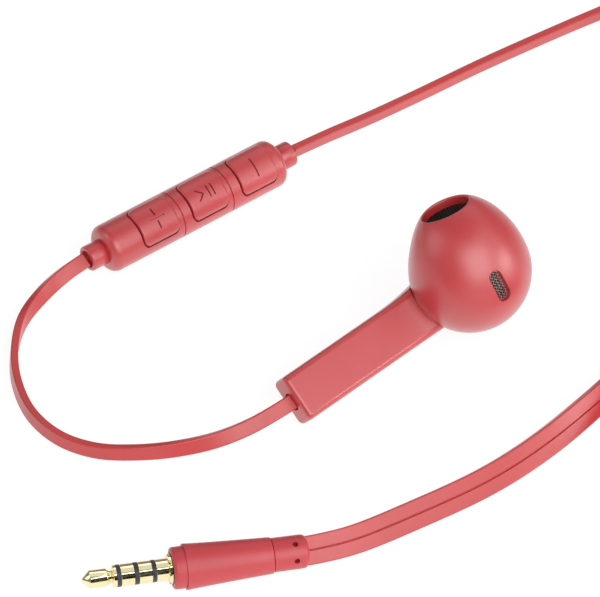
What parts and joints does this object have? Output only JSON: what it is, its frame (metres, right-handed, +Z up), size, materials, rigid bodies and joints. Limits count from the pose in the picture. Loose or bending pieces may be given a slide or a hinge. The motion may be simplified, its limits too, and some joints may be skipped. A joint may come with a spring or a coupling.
{
  "type": "wired earphones",
  "caption": "Pair of in-ear buds with flat stems, an in-line three-button remote, a cable splitter and a four-pole 3.5 mm plug on flat ribbon cable.",
  "frame": {"origin": "on the table, in the middle of the two earbuds' footprint", "axes": "+X runs along the table from the right earbud to the left one, +Y away from the viewer across the table, +Z up"},
  "size_m": [0.1925, 0.1391, 0.0219],
  "materials": {
    "coral_plastic": "satin",
    "coral_cable": "satin",
    "dark_rubber": "matte",
    "black_plastic": "satin",
    "board": "satin",
    "gold": "polished plating",
    "steel_mesh": "woven",
    "steel": "plated",
    "copper": "enamelled wire",
    "film": "thin film",
    "foam": "open cell"
  },
  "bodies": {
    "earphones": {"right_head_shell": "coral_plastic", "right_stem_shell": "coral_plastic", "right_cable_gland": "dark_rubber", "right_nozzle_mesh": "steel_mesh", "right_vent_mesh": "steel_mesh", "right_driver_frame": "black_plastic", "right_driver_yoke": "steel", "right_driver_magnet": "steel", "right_voice_coil": "copper", "right_diaphragm": "film", "right_damping_pad": "foam", "left_head_shell": "coral_plastic", "left_stem_shell": "coral_plastic", "left_cable_gland": "dark_rubber", "left_nozzle_mesh": "steel_mesh", "left_vent_mesh": "steel_mesh", "left_driver_frame": "black_plastic", "left_driver_yoke": "steel", "left_driver_magnet": "steel", "left_voice_coil": "copper", "left_diaphragm": "film", "left_damping_pad": "foam", "remote_upper_shell": "coral_plastic", "remote_lower_shell": "coral_plastic", "remote_inlet_collar": "coral_plastic", "remote_outlet_collar": "coral_plastic", "remote_circuit_board": "board", "remote_microphone": "steel", "switch_volume_up": "black_plastic", "switch_play_pause": "black_plastic", "switch_volume_down": "black_plastic", "plug_tip": "gold", "plug_insulator_1": "black_plastic", "plug_ring_1": "gold", "plug_insulator_2": "black_plastic", "plug_ring_2": "gold", "plug_insulator_3": "black_plastic", "plug_sleeve": "gold", "plug_body": "coral_plastic", "plug_strain_relief": "coral_plastic", "splitter_left_shell": "coral_plastic", "splitter_right_shell": "coral_plastic", "loop_cable": "coral_cable", "right_cable_run": "coral_cable", "right_cable_lead": "coral_cable", "left_cable_lead": "coral_cable", "left_cable_end": "coral_cable", "main_cable_run": "coral_cable", "main_cable_lead": "coral_cable", "main_cable_coil": "coral_cable", "right_cable_coil": "coral_cable", "left_cable_coil": "coral_cable", "main_coil_tie": "black_plastic", "right_coil_tie": "black_plastic", "left_coil_tie": "black_plastic"},
    "button_volume_up": {"button_volume_up": "coral_plastic"},
    "button_play_pause": {"button_play_pause": "coral_plastic"},
    "button_volume_down": {"button_volume_down": "coral_plastic"}
  },
  "joints": [
    {"name": "press_volume_up", "type": "slide", "parent": "earphones", "child": "button_volume_up", "axis": [0.3114, -0.4102, 0.8572], "range_m": [-0.0003, 0], "stiffness_N_per_m": 120, "springref_m": 0.0002},
    {"name": "press_play_pause", "type": "slide", "parent": "earphones", "child": "button_play_pause", "axis": [0.3114, -0.4102, 0.8572], "range_m": [-0.0003, 0], "stiffness_N_per_m": 120, "springref_m": 0.0002},
    {"name": "press_volume_down", "type": "slide", "parent": "earphones", "child": "button_volume_down", "axis": [0.3114, -0.4102, 0.8572], "range_m": [-0.0003, 0], "stiffness_N_per_m": 120, "springref_m": 0.0002}
  ]
}
